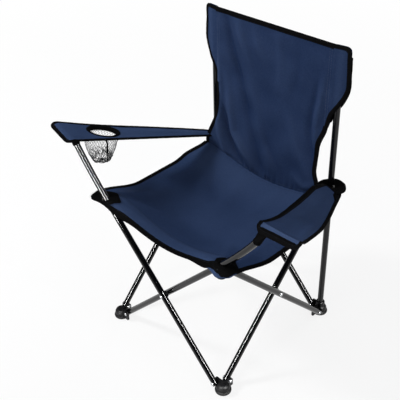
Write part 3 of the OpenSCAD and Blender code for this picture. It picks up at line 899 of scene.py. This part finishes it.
class Arm:
    """An arm's cloth: a runs across it and b along it from front to rear, both in millimetres."""

    folds = []

    def __init__(self, side, corners, inner, outer, rounding):
        self.side, self.ends = side, np.array(corners, float).reshape(2, 2, 3)
        self.inner, self.outer, self.rounding = inner, outer, rounding

    def wide(self, v):
        """Width of the arm at the share v of its length."""
        return mix(*(np.linalg.norm(right - left) for left, right in self.ends), v)

    def at(self, a, b):
        a, b = np.broadcast_arrays(np.asarray(a, float), np.asarray(b, float))
        v = b / ARM_LONG
        u = 0.5 + a / self.wide(v)
        front, rear = (mix(left, right, u[..., None]) for left, right in self.ends)
        inner_u = u if self.side < 0 else 1 - u
        lift = mix(np.interp(v, *self.outer), np.interp(v, *self.inner), np.clip(inner_u, -0.1, 1.1))
        return mix(front, rear, v[..., None]) + np.stack([0 * u, 0 * u, lift + self.shape(a, b, u, v)], -1)

    def creases(self, a, b):
        return sum(crease(a, b, *f) for f in self.folds)

    def grid(self):
        """Grid of the cloth, with the corners at its two ends rounded off."""
        t, u = grid_steps(130, 40, 0.6, 0.4)
        b = t * ARM_LONG + 0 * u
        half = self.wide(t) / 2
        for near, r in ((b[:, :1], self.rounding[0]), (ARM_LONG - b[:, :1], self.rounding[1])):
            half = half - blunt(near, r)
        return half * (u * 2 - 1), b


def steps(*values):
    """The values at even steps from 0 to 1."""
    return np.linspace(0, 1, len(values)), np.array(values, float)


class RightArm(Arm):
    """The slack arm: it sags between its posts and its front edge turns down."""

    folds = [([(-30, 34), (0, 60), (26, 70)], 9, -2.4), ([(-34, 60), (-6, 96)], 9, 2.0),
             ([(36, 60), (20, 150), (14, 260)], 9, 2.0), ([(-20, 150), (-12, 260), (0, 350)], 8, -1.8),
             ([(10, 300), (6, 390)], 6, 1.8)]

    def shape(self, a, b, u, v):
        dip = -9 * np.sin(math.pi * np.clip(u, 0, 1)) * bump(v, 0.5, 0.6)
        turned = -13 * np.clip(1 - b / 27, 0, 1.4) ** 1.5 - 8 * np.clip(1 - b / 13, 0, 1) ** 2
        calm = smooth((u - 0.02) / 0.2) * smooth((0.98 - u) / 0.2)
        ridge = 2.2 * bump(b, 29, 9)
        return dip + turned + ridge + self.creases(a, b) * calm + 0.5 * ripple(a, b, 70, 12)


class LeftArm(Arm):
    """The taut arm with the cup holder."""

    folds = [([(-38, 24), (-24, 60)], 8, 1.6), ([(34, 20), (30, 66)], 8, -1.6),
             ([(-10, 160), (-6, 260), (0, 390)], 9, 1.6), ([(14, 150), (10, 240), (6, 330)], 7, -1.2),
             ([(-26, 150), (-20, 200)], 7, -1.2)]

    def shape(self, a, b, u, v):
        calm = smooth((np.hypot((a - CUP[0]) / CUP[2], (b - CUP[1]) / CUP[3]) - 1.2) / 0.4)
        turned = -9 * np.clip(1 - b / 20, 0, 1.4) ** 1.5
        folds = (self.creases(a, b) + 0.4 * ripple(a, b, 60, 15)) * smooth(u / 0.15) * smooth((1 - u) / 0.15)
        return (turned + folds) * calm - 1.2


# Corners: front left, front right, rear left, rear right. The steps are the lift of an arm's inner and outer
# side along its length, and the last pair rounds its front and rear corners.
LEFT_CORNERS = [(-385, -222, 573), (-291, -234, 556), (-217, 188, 434), (-186, 172, 434)]
RIGHT_CORNERS = [(284, -187, 558), (391, -174, 585), (195, 176, 434), (236, 194, 441)]
LEFT_ARM = LeftArm(-1, LEFT_CORNERS, steps(0, 0), steps(0, -1.5, -3, -3.5, -3, -2, -1, -0.5, 0, 0, 0),
                   (15, 8))
RIGHT_ARM = RightArm(1, RIGHT_CORNERS, steps(19.5, 12, 4.5, 2, 5, 9, 14.5, 21, 27.5, 22.5, 13),
                     steps(-12.5, -27.5, -36, -43, -48.5, -54, -53.5, -47.5, -34, -24, -13), (14, 6))
# The cup holder's hole, 0.28 of the way along the arm: its middle and its radii
CUP = (-0.06 * float(LEFT_ARM.wide(0.28)), 0.28 * ARM_LONG, 25.5, 33.5)
ARM_IN = {k: ((-0.382 * k, 0.912, 0.146), (0.200 * k, 0.190, 0.430), 0.117) for k in (1, -1)}


def make_arm(side, k, arm, holes=()):
    hub = f"rear_{side}_hub"
    a, b = arm.grid()
    sheet = cloth(f"arm_{side}_cloth", arm.at, a, b, NAVY, holes, ARM_PAINTED_LIGHT[k])
    line = rounded(resample(border(a, b), 4.0, True), 2, True)
    bind = tape(f"arm_{side}_binding", arm.at, line, arm_tape(k, line), closed=True)
    thread = Thread()
    thread.hem(arm.at, line, 5.2, closed=True)
    if k > 0:
        thread.seam(arm.at, np.array([[-40.0, 31], [40, 31]]))
    else:
        thread.seam(arm.at, pairs(*round_hole(CUP, 7, around(79))), closed=True)
    threads = thread.make(f"arm_{side}_stitching")
    pocket = make_pocket(side, k, arm)
    place(sheet, hub, ARM_IN[k], (f"arm_{side}",))
    place(pocket, hub, ARM_IN[k], (f"arm_pocket_{side}",))
    return sheet, sewn([bind, threads], hub, ARM_IN[k]) + [pocket]


# Painted light on each arm's cloth: both painted paler all over, the right arm's turned front edge, which
# faces down, painted much paler still, and painted shade in a band behind each front
ARM_PAINTED_LIGHT = {1: lambda a, b: 2.2 * (1 - smooth((b - 27) / 3)) + 0.8 - 0.15 * bump(b, 45, 25),
            -1: lambda a, b: 1.4 - 0.4 * bump(b, 60, 70)}


def arm_tape(k, line):
    """Width of the tape along an arm's edge."""
    if k < 0:
        return 7.5
    end = smooth((line[:, 1] - 352) / 20) * smooth((line[:, 0] + 12) / 20)
    return 7.5 + 9 * end + 4.5 * (1 - smooth(line[:, 1] / 6))


def make_pocket(side, k, arm):
    """Sewn sleeve under the arm's front: a tube of cloth round the post that widens up into the arm."""
    n = 40
    f = around(n)
    low, way = arm_post(k, 160.0)
    high, _ = arm_post(k, 166.0)
    across = np.array([way[2], 0, -way[0]])
    circle = np.cos(f)[:, None] * across + np.sin(f)[:, None] * np.array([0.0, 1.0, 0.0])
    rings = []
    for t, r in ((0.06, 8.5), (0, 8.8), (0.1, 9.1), (0.25, 9.0), (0.4, 8.8), (0.6, 8.8), (0.85, 8.9),
                 (1, 9.0)):
        wavy = r * (1 + 0.03 * np.sin(3 * f + 9 * t) + 0.02 * np.sin(7 * f + 5 * t))
        rings.append(mix(low, high, t) + wavy[:, None] * circle)
    a, b = nearest_flat(arm, high + 14 * way)
    target = arm.at(a + 11 * np.cos(f) * k, b + 10.5 * np.sin(f)) - np.array([0, 0, 1.2])
    start = rings[-1]
    for t in (0.35, 0.7, 1.0):
        pucker = 0.6 * np.sin(5 * f + 4 * t)[:, None] * across * (1 - t)
        rings.append(mix(start, target, smooth(t)) + pucker)
    m = len(rings)
    faces = lattice(m, n, False) + [[(m - 1) * n + i for i in range(n)]]
    uv = pairs(np.tile(np.arange(n) * 1.7, m), np.repeat(np.arange(m) * 3.5, n))
    o = mesh(f"arm_pocket_{side}_cloth", np.array(rings).reshape(-1, 3), faces, uv, BINDING)
    wall = o.modifiers.new("wall", "SOLIDIFY")
    wall.thickness, wall.offset = 1.1 * MM, 0.0
    return o


def nearest_flat(arm, p):
    """Flat coordinates of the spot on an arm's front that lies over the point."""
    a, b = np.meshgrid(np.linspace(-40, 40, 81), np.linspace(6, 60, 55))
    q = arm.at(a, b)
    k = np.hypot(q[..., 0] - p[0], q[..., 1] - p[1]).argmin()
    return a.ravel()[k], b.ravel()[k]


def strand(path, r, sides=4):
    """Points and faces of a thin tube along a path."""
    path = np.asarray(path)
    way = np.gradient(path, axis=0)
    way /= np.maximum(np.linalg.norm(way, axis=1, keepdims=True), 1e-9)
    u = np.cross(way, np.array([0.3, 0.2, 0.93]))
    u /= np.linalg.norm(u, axis=1, keepdims=True)
    w = np.cross(way, u)
    n = len(path)
    f = around(sides)[None, :, None]
    rings = path[:, None] + r * (np.cos(f) * u[:, None] + np.sin(f) * w[:, None])
    ends = [list(range(sides))[::-1], [(n - 1) * sides + j for j in range(sides)]]
    return rings.reshape(-1, 3), lattice(n, sides, False) + ends


def joined(name, parts, look):
    """One mesh of many strands."""
    points, faces, count = [], [], 0
    for p, quads in parts:
        points.append(p)
        faces += [[v + count for v in face] for face in quads]
        count += len(p)
    points = np.concatenate(points)
    return mesh(name, points, faces, points[:, :2], look)


def net_at(f, t):
    """Point on the cup holder's net: f round it, t from 0 at the ring to 1 at its foot."""
    f, t = np.broadcast_arrays(np.asarray(f, float), np.asarray(t, float))
    middle = LEFT_ARM.at(*CUP[:2])
    top = LEFT_ARM.at(*round_hole(CUP, 2, f)) - np.array([0, 0, 1.6])
    z = mix(top[..., 2], middle[2] - 88.0, t)
    r = np.interp(t, [0, 0.2, 0.4, 0.55, 0.7, 0.85, 1], [41, 42, 40.5, 37.5, 33, 28, 21])
    r = r + 1.6 * np.sin(3 * f + 1.1) * t + 1.3 * np.sin(7 * f + 6 * t) * t * (1 - 0.3 * t)
    away = -6.5 * smooth(t / 0.35)
    x, y = middle[0] + away - 6 * smooth(t) + r * np.cos(f), middle[1] + away + r * np.sin(f)
    share = smooth(t / 0.25)
    return np.stack([mix(top[..., 0], x, share), mix(top[..., 1], y, share), z], -1)


def net_strands(foot):
    """The net's two crossing sets of strands, and the ones that close it below."""
    t = np.linspace(0, 1, 30)
    parts = [strand(net_at(f + way * t * 1.25, t), 0.36) for f in around(34) for way in (1, -1)]
    for f in around(14):
        end = net_at(f, 1.0)
        parts.append(strand([end, mix(end, foot, 0.5) + [0, 0, -1.2], foot + [0, 0, 1]], 0.42))
    return parts


def net_seams(foot):
    """Seam of black tape down the net's side, and its foot gathered in short crumpled cords."""
    t = np.linspace(0.0, 0.99, 26)
    parts = [strand(net_at(5.95 + 0.04 * k + 0.35 * t ** 2, t) + 0.4, 0.8, 6) for k in np.linspace(-1, 1, 4)]
    t = np.linspace(0, 1, 9)
    for i, f in enumerate(around(46)):
        w = math.sin(7.3 * i)
        turn = (0.5 + 0.4 * w) * t * (1 if i % 2 else -1)
        p = net_at(f + turn, mix(0.80 + 0.08 * math.sin(3.1 * i), 0.99, t))
        wavy = (p - foot) * [1, 1, 0] * (0.05 * np.sin(9 * t + 2 * i))[:, None]
        parts.append(strand(p + wavy, 0.55 + 0.3 * abs(w), 5))
    for i, f in enumerate(around(18)):
        p = net_at(f, 0.99)
        q = mix(p, foot, 0.55) + [3 * math.sin(5 * i), 3 * math.cos(4 * i), -1.5]
        parts.append(strand([p, q, foot + [2 * math.cos(i), 2 * math.sin(i), 1.0]], 0.7, 5))
    return parts


def cup_rim():
    """Stiff taped rim of the cup holder: over the arm's cloth and down inside the hole."""
    section = [(6.0, -0.9), (6.3, 0.3), (5.6, 1.7), (3.2, 2.3), (1.0, 2.0), (-0.5, 1.0), (-1.2, -3),
               (-1.4, -9), (-0.9, -10), (-0.3, -9), (-0.1, -3), (0.8, -1.2)]
    o = ring("cup_rim", LEFT_ARM.at, CUP, section, 72, (32, 2.0))
    return place(o, "rear_left_hub", ARM_IN[-1], ("cup_ring",))


def make_net():
    foot = net_at(around(24), 1.0).mean(0)
    net = joined("cup_net_strands", net_strands(foot), NET)
    seams = joined("cup_net_seam", net_seams(foot), BINDING)
    place(net, "rear_left_hub", ARM_IN[-1], ("cup_net",))
    place(seams, "rear_left_hub", ARM_IN[-1])
    return [net, seams]


# Outline of an arm's black end on its own side; the left arm's is the smaller one
ARM_END = {1: [(178, 165), (240, 178), (243, 200), (227, 220), (206, 227), (186, 221), (172, 200),
               (170, 180)],
           -1: [(178, 168), (214, 178), (219, 196), (212, 213), (198, 219), (184, 214), (174, 196)]}


def arm_end(side, k):
    """Black end of an arm: a doubled patch with an eyelet round the rear post, on the joint's collar."""
    name, hub = f"arm_end_{side}", f"rear_{side}_hub"
    outline = rounded(resample(np.array(ARM_END[k], float), 3.0, True), 5, True)
    outline = (outline * [k, 1])[::k]

    def at(x, y):
        r = np.hypot(x - k * CORNER, y - CORNER)
        lip = (6.5 if k > 0 else 2.5) * smooth((r - 12) / 15)
        wave = 0.7 * np.sin(12 * np.arctan2(y - CORNER, x)) * smooth((r - 12) / 12)
        return np.stack([x, y, 430.6 + lip + wave + 0.5 * ripple(x, y, 30, 21)], -1)

    hole = (k * CORNER, CORNER, 10.5, 10.5)
    thick = 2.2
    o = cloth(name + "_cloth", at, *patch_grid(outline, 2.4), BINDING, [hole], thick=thick, outline=outline)
    rim = tape(name + "_binding", at, outline, 6, closed=True, thick=thick, body=1.0)
    place(o, hub, None, (name,))
    return [o] + sewn([rim, eyelet(name + "_eyelet", at, hole)], hub)


def make_arms():
    sheet, pieces = make_arm("left", -1, LEFT_ARM, [CUP])
    pieces + make_net() + arm_end("left", -1) + [cup_rim()]
    sheet, pieces = make_arm("right", 1, RIGHT_ARM)
    pieces + arm_end("right", 1)


make_seat()
make_back()
make_arms()

# ---- light and ground


def world():
    """Soft light on the chair, and plain white for camera, gloss and transmission rays."""
    w = bpy.data.worlds.new("studio")
    bpy.context.scene.world = w
    n = Nodes(w)
    soft, white = n.add("ShaderNodeBackground", Strength=0.42), n.add("ShaderNodeBackground", Strength=1.0)
    soft.inputs[0].default_value, white.inputs[0].default_value = (0.96, 0.98, 1, 1), (1, 1, 1, 1)
    path = n.add("ShaderNodeLightPath").outputs
    seen = n.math("MAXIMUM", path["Is Camera Ray"], path["Is Glossy Ray"])
    seen = n.math("MAXIMUM", seen, path["Is Transmission Ray"])
    n.blend(seen, soft.outputs[0], white.outputs[0], n.add("ShaderNodeOutputWorld"))


def area(name, at, to, size, power, along=None):
    """Area light turned to a point, with its second side along a direction."""
    d = bpy.data.lights.new(name, "AREA")
    d.shape, d.size, d.size_y, d.energy = "RECTANGLE", size[0], size[1], power
    o = bpy.data.objects.new(name, d)
    o.visible_camera = False
    back = (Vector(at) - Vector(to)).normalized()
    up = Vector(along or (0, 0, 1))
    up = (up - back * up.dot(back)).normalized()
    stand(o, up.cross(back), up, back, Vector(at))
    return o


def lights():
    for name, at, size, power in (("key", (-2.3, -1.6, 2.8), (0.6, 0.6), 98),
                                  ("fill", (2.6, -0.9, 1.6), (1.2, 1.6), 12),
                                  ("rim", (0.6, 2.6, 2.0), (1.6, 0.5), 16)):
        area(name, at, (0, 0, 0.5), size, power).visible_glossy = False
    # Strips along the legs of each side, which only gloss sees: they draw bright lines on the tubes
    for name, at, along, power in (("strip_over", (2.2, 0.2, 2.4), (-0.685, 0, 0.728), 330),
                                   ("strip_front", (0.2, -2.6, 1.9), (0, 0.685, 0.728), 380)):
        area(name, at, (0, 0, 0.4), (0.16, 2.8), power, along).visible_diffuse = False


def walls():
    """Dim walls and ceiling, seen by gloss alone, so that black stays black between the strips' lines."""
    bpy.ops.mesh.primitive_uv_sphere_add(segments=48, ring_count=24, radius=6.0, location=(0, 0, 0))
    o = bpy.context.object
    o.name = "walls"
    n = Look("walls", (0.05, 0.05, 0.05), 1.0, 0.0, 0.0)
    n.bsdf.inputs["Emission Color"].default_value = (1, 1, 1, 1)
    n.bsdf.inputs["Emission Strength"].default_value = 0.02
    o.data.materials.append(n.mat)
    o.visible_camera = o.visible_diffuse = o.visible_transmission = o.visible_shadow = False


def ground():
    """Pale floor that turns to plain white for the camera and for gloss, all of it from 2.6 m out."""
    bpy.ops.mesh.primitive_plane_add(size=60, location=(0, 0, -0.0004))
    o = bpy.context.object
    o.name = "ground"
    n = Look("ground", (0.86, 0.86, 0.86), 0.9)
    glow = n.add("ShaderNodeEmission", Strength=1.0)
    path = n.add("ShaderNodeLightPath").outputs
    seen = n.math("MAXIMUM", path["Is Camera Ray"], path["Is Glossy Ray"])
    far = n.add("ShaderNodeVectorMath", operation="LENGTH")
    n.link(n.coords("Object"), far.inputs[0])
    share = n.math("MULTIPLY", seen, n.remap(far.outputs["Value"], 0.7, 2.6, 0.84, 1.0))
    n.blend(share, n.bsdf.outputs[0], glow.outputs[0], n.out)
    patches = n.noise(n.coords("Object"), 3, 2)
    n.colour(n.remap(patches, 0.3, 0.7, 0, 1), (0.84, 0.84, 0.84), (0.88, 0.88, 0.88))
    o.data.materials.append(n.mat)


world()
lights()
walls()
ground()
